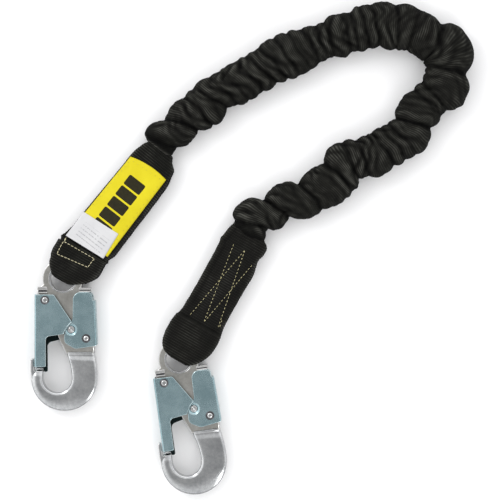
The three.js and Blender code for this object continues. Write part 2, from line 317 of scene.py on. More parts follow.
def thread(name, dark, light):
    """Twisted sewing thread."""
    m = Material(name, roughness=0.7, specular_ior_level=0.3)
    twist = m.wave(bands(0.0005), m.place(), distortion=2.0, direction="DIAGONAL")
    m.colour_from(m.sum(twist, 0.4, m.noise(260, 3), 0.6), [(0.25, dark), (0.65, light)])
    m.bump(twist, 0.00015)
    return m.finished()


def near(m, value, middle, reach):
    """1 within reach of the middle, else 0."""
    return m.math("LESS_THAN", m.math("ABSOLUTE", m.math("SUBTRACT", value, middle)), reach)


BLOCK = {"pitch": 11.6, "from": 50.2, "half": (3.6, 7.2), "across": -0.9}  # the label's printed blocks
BLOCK_CORNER = 1.9  # square of the radius of their corners
BLOCKS_SEEN = 79.2, 29.0  # middle and half length of their row


def label_cloth():
    """Yellow coated cloth printed with a row of plain dark blocks."""
    m = Material("yellow_label", roughness=0.5, specular_ior_level=0.15)
    at = m.web_place()
    along, across, _ = m.split(at)
    fade = m.noise(30, 4)
    yellow = m.ramp(fade, [(0.3, (0.56, 0.47, 0.01)), (0.75, (0.67, 0.58, 0.018))])
    beat = m.math("FRACT", m.math("DIVIDE", m.math("SUBTRACT", along, BLOCK["from"]), BLOCK["pitch"]))
    from_middle = m.math("MULTIPLY", m.math("ABSOLUTE", m.math("SUBTRACT", beat, 0.5)), BLOCK["pitch"])
    from_line = m.math("ABSOLUTE", m.math("SUBTRACT", across, BLOCK["across"]))
    past = [m.math("MAXIMUM", m.math("SUBTRACT", value, half), 0.0)
            for value, half in zip((from_middle, from_line), BLOCK["half"])]
    corner = m.math("ADD", *(m.math("MULTIPLY", value, value) for value in past))
    printed = m.math("MULTIPLY", m.math("LESS_THAN", corner, BLOCK_CORNER), near(m, along, *BLOCKS_SEEN))
    ink_wear = m.math("SUBTRACT", 1.0, m.math("MULTIPLY", m.noise(420, 3), 0.03))
    m.colour(m.mix(m.math("MULTIPLY", printed, ink_wear), yellow, (0.01, 0.009, 0.006)))
    m.roughness(fade, 0.42, 0.55)
    for direction in "XY":
        m.bump(m.wave(bands(0.9), at, direction=direction), 0.00004)
    m.bump(m.noise(60, 3), 0.0003)
    return m.finished()


def label_paper():
    """White record label with faint broken rules."""
    m = Material("white_label", roughness=0.5, specular_ior_level=0.35)
    along, across, _ = m.split(m.web_place())
    beat = m.math("FRACT", m.math("DIVIDE", along, 3.4))
    specks = m.math("GREATER_THAN", m.noise(1.0, 2, at=m.web_place(scale=(0.05, 1.1, 1))), 0.47)
    rows = m.math("MULTIPLY", m.math("LESS_THAN", beat, 0.26), specks)
    ruled = m.math("MULTIPLY", near(m, across, -1.5, 13.0), near(m, along, 43.0, 8.2))
    lines = m.math("MULTIPLY", rows, ruled)
    paper = m.ramp(m.noise(40, 3), [(0.3, (0.52, 0.52, 0.53)), (0.75, (0.62, 0.62, 0.62))])
    m.colour(m.mix(m.math("MULTIPLY", lines, 0.55), paper, (0.2, 0.2, 0.21)))
    m.roughness(m.noise(90, 3), 0.42, 0.6)
    m.bump(m.noise(1500, 3), 0.00006)
    m.bump(m.noise(70, 2), 0.0004)
    return m.finished()


def metal(name, dark, light, roughness, grain, scratches=0.00004):
    """Plated steel: cloudy tone, tumbled grain, hairline scratches."""
    m = Material(name, metallic=1.0, roughness=roughness[0])
    cloud = m.noise(60, 5)
    fine = m.noise(grain, 4, roughness=0.7)
    m.colour_from(m.sum(cloud, 0.55, fine, 0.45), [(0.3, dark), (0.7, light)])
    m.roughness(m.sum(cloud, 0.5, fine, 0.5), *roughness)
    m.bump(fine, 0.00002)
    m.bump(m.noise(1.0, 2, at=m.place(scale=(300, 2600, 300), rotation=(0, 0, 0.5))), scratches)
    return m.finished()


# ---- helpers for shapes ---------------------------------------------------------------------
def smoothstep(value, low, high):
    t = np.clip((value - low) / (high - low), 0, 1)
    return t * t * (3 - 2 * t)


def make_object(name, points, faces, material, web=None):
    """A smooth object from points in metres. Its UV map holds the web's own coordinates, in millimetres."""
    mesh = make_mesh(name, [tuple(point) for point in points], faces)
    whole = bmesh.new()
    whole.from_mesh(mesh)
    bmesh.ops.recalc_face_normals(whole, faces=whole.faces)
    whole.to_mesh(mesh)
    whole.free()
    if web is not None:
        layer = mesh.uv_layers.new(name="web")
        corner = np.zeros(len(mesh.loops), int)
        mesh.loops.foreach_get("vertex_index", corner)
        layer.data.foreach_set("uv", np.asarray(web, float)[corner].ravel())
    mesh.materials.append(material)
    mesh.shade_smooth()
    return add_object(name, mesh)


def ring_faces(rings, around):
    """Quads between closed rings that follow each other, with one cap at each end."""
    faces = []
    for i in range(rings - 1):
        for j in range(around):
            k = (j + 1) % around
            a, b = i * around, (i + 1) * around
            faces.append((a + j, b + j, b + k, a + k))
    faces.append(tuple(range(around)))
    faces.append(tuple(reversed(range((rings - 1) * around, rings * around))))
    return faces


def running_mean(values):
    """Each value becomes the mean of the 21 round it."""
    return np.convolve(np.pad(values, 10, mode="edge"), np.ones(21) / 21, "valid")


# ---- the gathered sleeve --------------------------------------------------------------------
LEFT_BORE = Vector((-162.3, -24.9, 9.0))
SHIFT = Vector(JOINTS["left_hook_turn"]["pos_m"]) / MM - LEFT_BORE

# the sleeve's middle line in the part's own millimetres, from the left pack to the right one:
# mostly a centre line that a script found in the photo, thinned and rounded
ROUTE = [
    (-79.2, 86.4), (-68, 101), (-46, 121.5), (-21, 140), (7, 155.5), (35, 169.5), (63, 181.5),
    (93, 191), (124, 194), (149, 186.5), (165.5, 174), (169.5, 158.5), (156.5, 131.5),
    (137.5, 106), (114, 87), (85, 74), (62, 54), (33, 41), (9, 28), (-3.1, 8.7),
]

# each crease: mm along at the left edge and half width there, the same at the right edge,
# then how far the puff after it swells on the left and on the right; mostly picked from a
# script's printed profile of the photo's sleeve
CREASES = [
    (-14, 16.6, -3, 12.2, 16.6, 11.6), (1.5, 15.6, 12, 10.2, 19.6, 17), (22, 10.8, 38, 12, 17.2, 19),
    (47, 14.6, 51, 17.6, 17, 20.8), (57, 16, 71, 12.6, 18.3, 16.4), (73, 16, 81, 16, 16.6, 19.8),
    (82, 15, 93, 18, 16.8, 19.3), (97, 15.4, 108, 16.4, 17, 19.3), (108, 15.8, 122, 15.7, 17.4, 18.8),
    (121, 16.3, 132, 17.1, 20.4, 20.3), (135, 18.4, 143, 18.7, 20.5, 20.2),
    (147, 18, 154, 18.6, 18.6, 18.6), (160, 15, 164, 15.4, 16.8, 16.8),
    (172, 14.6, 172, 15, 15.8, 16.3), (180, 14.2, 179, 15, 18.4, 19.7),
    (195, 15.8, 194, 16.8, 17.2, 18.1), (203, 15.3, 202, 17, 19.8, 19.2),
    (210, 18.6, 212, 16.6, 20.3, 18.1), (219, 18.6, 223, 16.5, 21.2, 20.2),
    (236, 17.6, 243, 18.6, 21, 19), (254, 18.4, 255, 16.3, 19.2, 18.6),
    (272, 15.6, 284, 17.4, 26, 18.6), (302, 16.2, 304, 16, 27, 15.4),
    (331, 16.2, 322, 13.1, 17, 16.4), (338, 15.2, 332, 15.5, 17.4, 20.5),
    (350, 13.2, 364, 12.9, 22.4, 15.4), (372, 20.6, 374, 13.6, 20.8, 16.2),
    (381, 18.3, 381, 15, 19.9, 18.2), (390, 15.8, 390, 16.3, 21, 17.5),
    (410, 15.2, 411, 16, 16.8, 19.6), (422, 14, 420, 18.6, 20.5, 21.2),
    (434, 18.9, 438, 13, 20.9, 18.4), (462, 15.6, 473, 10, 19.5, 18.3),
    (490, 10.2, 504, 8.6, 17.3, 21.5), (516, 11, 526, 16.4, 14.6, 18.2),
    (552, 18, 552, 18.4, 18, 18.4),
]
SLEEVE_STEP = 1.5  # between rings
SLEEVE_SIDES = 72
SLEEVE_GIRTH = 112  # of the cloth tube, laid out flat
GATHER = 1.35  # cloth length over sleeve length
SIM_FRAMES = 20
SIM_SCALE = 10  # the cloth simulation behaves better on a larger copy
MOVE_CAP = 3.6  # the simulation moves no point further than this
HELD_RINGS = 5  # at each end
CLOTH = {
    "quality": 5, "mass": 0.25, "tension_stiffness": 20, "compression_stiffness": 20,
    "shear_stiffness": 8, "bending_stiffness": 0.6, "tension_damping": 12, "compression_damping": 12,
    "bending_damping": 2, "vertex_group_mass": "held", "pin_stiffness": 1.0, "use_pressure": True,
    "uniform_pressure_force": 3.0,
}
GATHERS = ((12.5, 3.0, 3.0), (7.0, 1.7, 17.0))  # pitch, depth, place in the noise
TUCKED = 1.8  # how much narrower the sleeve's ends are, where they enter the packs
END_CLEARANCE = 0.35  # lowest a point comes to the floor, where the cloth rests on it


def smooth_line(points, step):
    """A centripetal Catmull-Rom line through the points, as rings a step apart, with their directions."""
    p = np.array(points, float)
    p = np.vstack([2 * p[0] - p[1], p, 2 * p[-1] - p[-2]])
    line = []
    for i in range(1, len(p) - 2):
        four = p[i - 1:i + 3]
        t = np.r_[0, np.cumsum(np.sqrt(np.linalg.norm(np.diff(four, axis=0), axis=1)))]
        for u in np.linspace(t[1], t[2], 16, endpoint=False):
            a = [four[k] + (four[k + 1] - four[k]) * (u - t[k]) / (t[k + 1] - t[k]) for k in range(3)]
            b = [a[k] + (a[k + 1] - a[k]) * (u - t[k]) / (t[k + 2] - t[k]) for k in range(2)]
            line.append(b[0] + (b[1] - b[0]) * (u - t[1]) / (t[2] - t[1]))
    line.append(p[-2])
    line = np.array(line)
    along = np.r_[0, np.cumsum(np.linalg.norm(np.diff(line, axis=0), axis=1))]
    places = np.linspace(0, along[-1], round(along[-1] / step) + 1)
    even = np.stack([np.interp(places, along, line[:, k]) for k in range(line.shape[1])], axis=1)
    forward = np.gradient(even, axis=0)
    forward /= np.linalg.norm(forward, axis=1)[:, None]
    return places, even, forward


def crease_rows(side):
    """Place, pinch and swell of every crease, for side 1 (left) to -1 (right)."""
    rows = np.array(CREASES, float)
    left = (1 + side) / 2
    return (rows[:, k] * left + rows[:, m] * (1 - left) for k, m in ((0, 2), (1, 3), (4, 5)))


def puffed(place, side):
    """Half width of the sleeve at mm `place` along it, and how far out of its crease that is, 0 to 1."""
    at, pinch, swell = crease_rows(side)
    i = int(np.clip(np.searchsorted(at, place, side="right") - 1, 0, len(at) - 2))
    t = min(max((place - at[i]) / (at[i + 1] - at[i]), 0), 1)
    round_out = (1 - abs(2 * t - 1) ** 2.2) ** 0.62
    base = pinch[i] + (pinch[i + 1] - pinch[i]) * t
    rise = swell[i] - (pinch[i] + pinch[i + 1]) / 2
    return base + rise * round_out, round_out


def cloth_place(place, side):
    """Where the rib at this point starts from: ribs lean with the creases beside them."""
    at, _, _ = crease_rows(side)
    rows = np.array(CREASES, float)
    return float(np.interp(place, at, (rows[:, 0] + rows[:, 2]) / 2))


def gathers(rib, angle):
    """Soft ridges with sharp valleys that come and go round the sleeve: millimetres out of the surface."""
    total = 0.0
    for pitch, depth, seed in GATHERS:
        c, s = math.cos(angle), math.sin(angle)
        wander = noise.noise(Vector((rib * 0.035, c * 0.9, s * 0.9 + seed)))
        slant = 7 * c * noise.noise(Vector((rib * 0.02, seed, 2.0)))
        phase = math.pi * (rib + 13 * wander + slant + 4 * s * s) / pitch
        present = noise.noise(Vector((rib * 0.03 + seed, c * 1.1, s * 1.1))) + 0.45
        present = min(max(1.6 * present, 0.0), 1.0)
        total += depth * present * (abs(math.sin(phase)) ** 0.7 - 0.72)
    return total


def sleeve_shape():
    """Ring after ring of points: puffs between leaning creases, with gathers on top."""
    places, line, forward = smooth_line(ROUTE, SLEEVE_STEP)
    line = line + np.array(SHIFT[:2])
    rings, web = [], []
    angles = np.linspace(0, 2 * math.pi, SLEEVE_SIDES, endpoint=False)
    shape = np.zeros((len(places), SLEEVE_SIDES, 3))
    for i, place in enumerate(places):
        near_end = min(place, places[-1] - place)
        tuck = TUCKED * (1 - smoothstep(near_end, 0, 5))
        calm = smoothstep(near_end, 0, 12)
        for j, angle in enumerate(angles):
            side = math.cos(angle)
            wander = 3.0 * noise.noise(Vector((place * 0.05, side * 1.3, math.sin(angle) * 1.3)))
            spot = place + wander * (1 - side * side)
            half, share = puffed(spot, side)
            rib = cloth_place(spot, side)
            crown = 0.55 + 0.45 * (1 - abs(side) ** 3)
            shape[i, j] = half + gathers(rib, angle) * calm * crown - tuck, share, rib
    heights = running_mean(0.62 * shape[:, :, 0].mean(axis=1))
    for i, place in enumerate(places):
        left = np.array([-forward[i, 1], forward[i, 0]])
        rounding = smoothstep(min(place, places[-1] - place), 0, 16)
        for j, angle in enumerate(angles):
            half, share, rib = shape[i, j]
            c, s = math.cos(angle), math.sin(angle)
            lift = 0.68 * half * math.copysign(abs(s) ** 0.9, s) - 0.8 * (1 - share) * max(s, 0)
            flat = 7.0 + 5.9 * math.copysign(abs(s) ** 0.55, s)
            z = flat + (heights[i] + lift - flat) * rounding
            if z < 1.2:
                z = END_CLEARANCE + 0.85 * math.exp((z - 1.2) / 1.2)
            xy = line[i] + left * half * math.copysign(abs(c) ** 0.92, c)
            rings.append((*xy, z))
            web.append((rib * GATHER, j * SLEEVE_GIRTH / SLEEVE_SIDES))
    return np.array(rings) * MM, web, len(places), shape[:, :, 1].ravel()


def buckle(sleeve, shares, rings):
    """The web is cut longer than the sleeve, so it buckles into gathers between its held creases."""
    at_rest = np.array([v.co for v in sleeve.data.vertices])
    sleeve.data.transform(Matrix.Scale(SIM_SCALE, 4))
    sleeve.shape_key_add(name="Basis")
    cut = sleeve.shape_key_add(name="cut")
    radius = 1.06 * SLEEVE_GIRTH * MM * SIM_SCALE / (2 * math.pi)
    held = sleeve.vertex_groups.new(name="held")
    for index, share in enumerate(shares):
        ring, side = divmod(index, SLEEVE_SIDES)
        angle = 2 * math.pi * side / SLEEVE_SIDES
        along = ring * SLEEVE_STEP * GATHER * MM * SIM_SCALE
        cut.data[index].co = (along, radius * math.cos(angle), radius * math.sin(angle))
        at_end = ring < HELD_RINGS or ring >= rings - HELD_RINGS
        weight = 1.0 if at_end else float(np.clip(1.15 - share * 1.5, 0.04, 1.0))
        held.add([index], weight, "REPLACE")
    cloth = sleeve.modifiers.new("cloth", "CLOTH")
    cloth.settings.rest_shape_key = cut
    for setting, value in CLOTH.items():
        setattr(cloth.settings, setting, value)
    cloth.settings.effector_weights.gravity = 0
    cloth.collision_settings.use_collision = False
    cloth.point_cache.frame_start = 1
    cloth.point_cache.frame_end = SIM_FRAMES
    for number in range(1, SIM_FRAMES + 1):
        bpy.context.scene.frame_set(number)
    moved = np.array([v.co for v in evaluated(sleeve).data.vertices]) / SIM_SCALE
    sleeve.modifiers.clear()
    sleeve.shape_key_clear()
    bpy.context.scene.frame_set(1)
    step = moved - at_rest
    far = np.linalg.norm(step, axis=1)[:, None]
    cap = MOVE_CAP * MM
    step *= np.tanh(far / cap) * cap / np.maximum(far, 1e-9)
    settled = at_rest + step
    settled[:, 2] = np.maximum(settled[:, 2], 0.3 * MM)
    sleeve.data.vertices.foreach_set("co", settled.ravel())


def make_sleeve(web_material):
    points, web, rings, shares = sleeve_shape()
    faces = ring_faces(rings, SLEEVE_SIDES)
    sleeve = make_object("gathered_sleeve", points, faces, web_material, web)
    buckle(sleeve, shares, rings)
    subdivide = sleeve.modifiers.new("fine", "SUBSURF")
    subdivide.levels = subdivide.render_levels = 1
    apply_modifiers(sleeve)
    bake_fold_shade(sleeve, 1.5)
    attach(sleeve, "lanyard")
    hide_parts("outer_sleeve")
    ring_points = points.reshape(rings, SLEEVE_SIDES, 3)
    middle = (ring_points.max(1) + ring_points.min(1)) / 2
    middle = np.stack([running_mean(middle[:, k]) for k in range(3)], 1)
    length = float(np.linalg.norm(np.diff(middle, axis=0), axis=1).sum())


FOLD_NEAR, FOLD_WIDE = 36, 240  # rounds of averaging: over the cloth beside a fold, and over its puff


def bake_fold_shade(thing, depth):
    """Stores how far each point stands above the cloth around it: 0 deep in a fold, 1 on a ridge.

    Faces turned to the side count as deeper, as painted shade for light that falls from above. The web's
    colour is darkened by this value: painted shade in the folds and on the sides.
    """
    mesh = thing.data
    count = len(mesh.vertices)
    place, normal = np.zeros(count * 3), np.zeros(count * 3)
    mesh.vertices.foreach_get("co", place)
    mesh.vertex_normals.foreach_get("vector", normal)
    place, normal = place.reshape(-1, 3) / MM, normal.reshape(-1, 3)
    edges = np.zeros(len(mesh.edges) * 2, int)
    mesh.edges.foreach_get("vertices", edges)
    a, b = edges.reshape(-1, 2).T
    neighbours = np.bincount(a, minlength=count) + np.bincount(b, minlength=count)

    def averaged(values, times):
        for _ in range(times):
            total = np.bincount(a, values[b], count) + np.bincount(b, values[a], count)
            values = 0.5 * values + 0.5 * total / neighbours
        return values

    around = np.stack([averaged(place[:, axis], FOLD_NEAR) for axis in range(3)], axis=1)
    above = ((place - around) * normal).sum(1)
    above -= averaged(above, FOLD_WIDE)
    # side-facing faces get a lower value: painted shade for light that falls from above
    side_shade_factor = 0.45 + 0.55 * smoothstep(normal[:, 2], 0.05, 0.75)
    layer = mesh.attributes.new("fold", "FLOAT", "POINT")
    layer.data.foreach_set("value", (np.clip(0.5 + above / depth, 0, 1) * side_shade_factor).astype(np.float32))


def apply_modifiers(thing):
    mesh = bpy.data.meshes.new_from_object(evaluated(thing))
    thing.modifiers.clear()
    thing.data = mesh


# ---- straps inside the sleeve -------------------------------------------------------------
STRAP_STEP = 3.0
STRAP_COLUMNS = 10


def inner_strap(name, node, width, thickness, lift, material, waves):
    """A flat strap that lies slack along the sleeve's middle and is squeezed at its creases."""
    places, line, forward = smooth_line(ROUTE, STRAP_STEP)
    line = line + np.array(SHIFT[:2])
    points, web = [], []
    for i, place in enumerate(places):
        left = np.array([-forward[i, 1], forward[i, 0]])
        room_left, room_right = puffed(place, 1)[0], puffed(place, -1)[0]
        middle = (room_left - room_right) / 2
        half = min(width / 2, 0.52 * (room_left + room_right) / 2)
        ends = smoothstep(min(place, places[-1] - place), 0, 24)
        height = 7 + 3.2 * ends + lift + waves * math.sin(place / 4.6 + lift)
        shares = np.linspace(-1, 1, STRAP_COLUMNS)
        for face, across in ((1, shares), (-1, shares[::-1])):
            for share in across:
                z = height + face * (thickness / 2) * (1 - 0.5 * abs(share) ** 6)
                points.append((*(line[i] + left * (middle + share * half)), z))
                web.append((place, share * half))
    faces = ring_faces(len(places), 2 * STRAP_COLUMNS)
    strap = make_object(name, np.array(points) * MM, faces, material, web)
    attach(strap, "lanyard")
    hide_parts(node)


def make_inner_straps():
    inner_strap("tear_core_strap", "energy_absorbing_core", 25, 3.0, 0.0, core_web(), 0.9)
    band = elastic()
    for level, lift in (("upper", 3.2), ("lower", -3.2)):
        name, node = f"{level}_elastic_strap", f"{level}_elastic_band"
        inner_strap(name, node, 12, 1.4, lift, band, 0.3)


# ---- sewn packs and loops -------------------------------------------------------------------
EYES = {
    "left": Vector(JOINTS["left_hook_turn"]["pos_m"]),
    "right": Vector(JOINTS["right_hook_turn"]["pos_m"]),
}
LOOP_TURN = {"left": 61.0, "right": 60.5}  # direction of the web at the eye
PACK_TURN = {"left": 52.0, "right": 60.5}  # direction of the pack
TURN_FROM, TURN_TO = 24, 46  # mm from the eye where the web turns from one to the other

# mm from the eye: left edge, right edge, underside, top
WEB_STATIONS = {
    "left": [
        (-2.6, -7.2, 6, 6.5, 11), (-1.4, -10.4, 9.4, 3.2, 14.4), (1.5, -13.4, 13.6, 1.2, 16.4),
        (6, -17, 19.7, 0.4, 17), (14, -19.2, 25.4, 0.3, 17), (21, -20.3, 26.6, 0.8, 16.2),
        (26, -20.2, 26.2, 1.6, 15.2), (29, -19.2, 25.6, 1.6, 14.8), (31.5, -21.2, 26.2, 1.5, 14.6),
        (34.5, -20.6, 24.2, 1.2, 14.5), (40, -21.2, 23.9, 0.6, 14.5),
        (46, -21.8, 23.4, 0.3, 14.5), (62, -21.6, 23, 0.3, 14.5), (90, -20.8, 22.8, 0.3, 14.4),
        (112, -20.2, 22.4, 0.3, 14.3), (121, -20.2, 21.6, 0.3, 14.3), (128, -19.4, 19.6, 0.3, 14.2),
        (133, -18, 18.2, 0.4, 14), (135.2, -17.2, 15.6, 0.5, 13.8), (137, -16.6, 13, 0.7, 13.4),
        (142, -14, 9.6, 1.5, 11.5),
    ],
    "right": [
        (-2, -7, 8, 6.5, 11), (-0.6, -13, 10.8, 3.2, 14.4), (2.4, -17.6, 14.2, 1.2, 16.4),
        (7, -20.4, 18, 0.4, 17), (14, -22.2, 21.4, 0.3, 17), (22, -22.9, 23.1, 0.8, 16.4),
        (30, -22.2, 22.9, 1.6, 15.2), (33.5, -21.6, 22.6, 1.4, 14.8), (36, -20.2, 22, 1.2, 14.6),
        (43, -19.3, 20.8, 0.5, 14.5), (62, -18.9, 20.3, 0.3, 14.4), (85, -19.1, 20.6, 0.3, 14.3),
        (96, -19.3, 20.7, 0.3, 14.3), (106, -19.7, 18.4, 0.3, 14.3), (110, -20.6, 18.7, 0.3, 14.3),
        (113.5, -19.6, 19.7, 0.3, 14.2), (120, -18.8, 19.8, 0.4, 14), (123.4, -18, 17.8, 0.6, 13.8),
        (125.6, -17, 14.6, 0.8, 13.4), (130, -14, 11.5, 1.6, 11.5),
    ],
}
TAIL_END = {"left": 30.8, "right": 34.6}  # where the loop's folded-back tail stops, with a step down
TAIL_STEP = 1.2
WEB_LAYERS = (0.3, 0.55, 0.78)  # shares of the height where two layers of web meet at the edge
WEB_COLUMNS, EDGE_COLUMNS = 36, 11  # points across a face of the web and round an edge
WEB_STEP = 0.53
START_STEPS = (0.4, 0.9, 1.8, 3.1)  # extra stations where the loop rolls over
RIB_HEIGHT = 0.13
EDGE_RADIUS = 3.6
FLEX = 41, 23  # mm from the eye where the web starts to flex with its loop, and from where it is all loop


@functools.lru_cache(maxsize=None)
def web_frame(side, u):
    """Middle point and across direction of a pack's web at mm u from its eye, in millimetres."""
    share = 1 - float(smoothstep(u, TURN_FROM, TURN_TO))
    degrees = PACK_TURN[side] + (LOOP_TURN[side] - PACK_TURN[side]) * share
    eye = np.array(EYES[side][:2]) / MM
    pack, loop = math.radians(PACK_TURN[side]), math.radians(LOOP_TURN[side])
    toward = (1 - share) * np.array([math.cos(pack), math.sin(pack)])
    toward += share * np.array([math.cos(loop), math.sin(loop)])
    angle = math.radians(degrees)
    return eye + u * toward, np.array([math.sin(angle), -math.cos(angle)])


@functools.lru_cache(maxsize=None)
def web_limits(side, u):
    """Left edge, right edge, underside and top of the web at u, on a smooth curve through its stations."""
    rows = np.array(WEB_STATIONS[side], float)
    i = int(np.clip(np.searchsorted(rows[:, 0], u) - 1, 0, len(rows) - 2))
    before, here, after, beyond = (rows[int(np.clip(i + k, 0, len(rows) - 1))] for k in (-1, 0, 1, 2))
    span = after[0] - here[0]
    t = min(max((u - here[0]) / span, 0), 1)
    slope_here = (after - before) / max(after[0] - before[0], 1e-6) * span
    slope_after = (beyond - here) / max(beyond[0] - here[0], 1e-6) * span
    value = (
        (2 * t**3 - 3 * t**2 + 1) * here + (t**3 - 2 * t**2 + t) * slope_here
        + (3 * t**2 - 2 * t**3) * after + (t**3 - t**2) * slope_after
    )
    return value[1:]


def web_section(side, u):
    """Middle, half width of the flat, edge radius, underside and top of the web at u."""
    left, right, low, top = web_limits(side, u)
    radius = min((top - low) / 2, EDGE_RADIUS) * 0.55
    return (left + right) / 2, (right - left) / 2 - radius, radius, low, top


def web_top(side, u, v):
    """Height of the web's upper face: crowned, a little wavy, with a step where the loop's tail ends."""
    left, right, _, top = web_limits(side, u)
    share = (v - (left + right) / 2) / max((right - left) / 2, 1)
    seed = 2.0 if side == "left" else 9.0
    wave = 0.34 * noise.noise(Vector((u * 0.07, v * 0.11, seed)))
    wave += 0.16 * noise.noise(Vector((u * 0.21, v * 0.3, 5.0)))
    ended = smoothstep(u, TAIL_END[side], TAIL_END[side] + 0.9)
    tail = TAIL_STEP * (1 - float(ended)) * float(smoothstep(u, 8, 20))
    groove = 0.0
    if side == "right":
        groove = 0.45 * math.exp(-((v - left - 5.5) / 0.7) ** 2) * float(smoothstep(u, 44, 52))
    return top + wave + tail - groove - 1.1 * min(abs(share), 1.0) ** 4


def rib(u):
    return -RIB_HEIGHT * math.cos(2 * math.pi * u / RIB_PITCH)


def web_body(side, material):
    rows = WEB_STATIONS[side]
    start, stop = rows[0][0], rows[-1][0]
    stations = np.linspace(start, stop, round((stop - start) / WEB_STEP) + 1)
    stations = np.unique(np.r_[stations, [start + step for step in START_STEPS]])
    shares = [2 * k / (WEB_COLUMNS - 1) - 1 for k in range(WEB_COLUMNS)]
    turns = [(k + 1) / (EDGE_COLUMNS + 1) for k in range(EDGE_COLUMNS)]
    around = 2 * (WEB_COLUMNS + EDGE_COLUMNS)
    points, web = [], []
    for u in stations:
        middle, flat, _, low, _ = web_section(side, u)
        centre, sideways = web_frame(side, u)
        wander = [0.35 * noise.noise(Vector((u * 0.16, *place))) for place in ((1, 4), (5, 8))]
        over = [middle + share * flat for share in shares]
        section = [(v, web_top(side, u, v) + rib(u)) for v in over]
        section += [edge_point(side, u, 1, turn, wander[0]) for turn in turns]
        section += [(middle - share * flat, low + 0.4 * abs(share) ** 4 - rib(u)) for share in shares]
        section += [edge_point(side, u, -1, 1 - turn, wander[1]) for turn in turns]
        for k, (v, z) in enumerate(section):
            points.append((*(centre + sideways * v), max(z, 0.2)))
            web.append((u, k * 100 / around))
    faces = ring_faces(len(stations), around)
    return make_object(f"{side}_web", np.array(points) * MM, faces, material, web)


def edge_point(side, u, way, turn, wander):
    """A point round the web's edge, from its top (turn 0) to its underside (1), grooved between layers."""
    middle, flat, radius, low, _ = web_section(side, u)
    angle = math.pi * (0.5 - turn)
    bulge = abs(math.cos(angle)) ** 0.55
    depth = sum(math.exp(-(((1 - turn) - layer) / 0.035) ** 2) for layer in WEB_LAYERS)
    v = middle + way * (flat + radius * bulge + wander + rib(u) - 0.55 * depth * bulge)
    rise = math.copysign(abs(math.sin(angle)) ** 0.8, math.sin(angle))
    high = web_top(side, u, middle + way * flat)
    return v, (high + low + 0.4) / 2 + rise * (high - low - 0.4) / 2


def sew_on(thing, side, slot, *nodes):
    """Bakes the piece's placement into its mesh and hides the parts it stands for."""
    start, end = (web_frame(side, u)[0] for u in FLEX)
    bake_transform(thing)
    if nodes:
        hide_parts(*nodes)


def pack_point(side, u, v):
    """A point given in the pack's straight frame, and its u and v in the bending web's frame."""
    pack = math.radians(PACK_TURN[side])
    forward = np.array([math.cos(pack), math.sin(pack)])
    sideways = np.array([math.sin(pack), -math.cos(pack)])
    xy = np.array(EYES[side][:2]) / MM + u * forward + v * sideways
    for _ in range(8):
        middle, across = web_frame(side, round(u, 4))
        v = float((xy - middle) @ across)
        u += float((xy - middle) @ np.array([-across[1], across[0]]))
    return xy, u, v


SHEET_ROWS, SHEET_COLUMNS = 60, 28


def sheet_on_web(name, corners, lift, thickness, material, bow=0.0):
    """A thin sheet on the left web, between its corners (u, v) in order round it."""
    a, b, c, d = (np.array(corner, float) for corner in corners)
    rows, columns = SHEET_ROWS, SHEET_COLUMNS
    points, web = [], []
    for level in (thickness, 0):
        for i in range(rows):
            for j in range(columns):
                s, r = i / (rows - 1), j / (columns - 1)
                u, v = (a * (1 - r) + b * r) * (1 - s) + (d * (1 - r) + c * r) * s
                u += bow * s * (1 - (2 * r - 1) ** 2)
                xy, web_u, web_v = pack_point("left", u, v)
                edge = min(s, 1 - s, r, 1 - r)
                high = web_top("left", round(web_u, 2), web_v)
                points.append((*xy, high + lift + level - 0.12 * math.exp(-edge / 0.02)))
                web.append((u, v))
    grid = rows * columns
    faces = []
    for i in range(rows - 1):
        for j in range(columns - 1):
            at = i * columns + j
            faces.append((at, at + 1, at + columns + 1, at + columns))
            faces.append((grid + at, grid + at + columns, grid + at + columns + 1, grid + at + 1))
    rim = [*range(columns), *((i + 1) * columns - 1 for i in range(1, rows)),
           *range(grid - 2, grid - columns - 1, -1), *(i * columns for i in range(rows - 2, 0, -1))]
    for here, there in zip(rim, rim[1:] + rim[:1]):
        faces.append((here, here + grid, there + grid, there))
    return make_object(name, np.array(points) * MM, faces, material, web)


STITCH_SIDES, STITCH_RINGS = 8, 9


def stitches(name, side, runs, pitch, length, radius, lift, material):
    """Rows of separate stitches: each one a short thread that dips into the web at both ends."""
    points, faces = [], []
    for start, end in runs:
        start, end = np.array(start, float), np.array(end, float)
        whole = np.linalg.norm(end - start)
        count = max(1, round(whole / pitch))
        along = (end - start) / whole
        for n in range(count):
            middle = start + along * whole * (n + 0.5) / count
            lean = 0.12 * noise.noise(Vector((*middle, n * 0.7)))
            direction = along + lean * np.array([-along[1], along[0]])
            base = len(points)
            for t in np.linspace(-1, 1, STITCH_RINGS):
                u, v = middle + direction * t * length / 2
                thick = radius * math.sqrt(max(1 - abs(t) ** 3, 0.05))
                centre, sideways = web_frame(side, u)
                forward = np.array([-sideways[1], sideways[0]])
                cross = direction[0] * sideways - direction[1] * forward
                dip = lift + radius * (0.35 - 1.1 * abs(t) ** 3)
                for k in range(STITCH_SIDES):
                    angle = 2 * math.pi * k / STITCH_SIDES
                    xy = centre + sideways * v + cross * thick * math.cos(angle)
                    points.append((*xy, web_top(side, u, v) + dip + thick * math.sin(angle)))
            for face in ring_faces(STITCH_RINGS, STITCH_SIDES):
                faces.append(tuple(base + index for index in face))
    return make_object(name, np.array(points) * MM, faces, material)


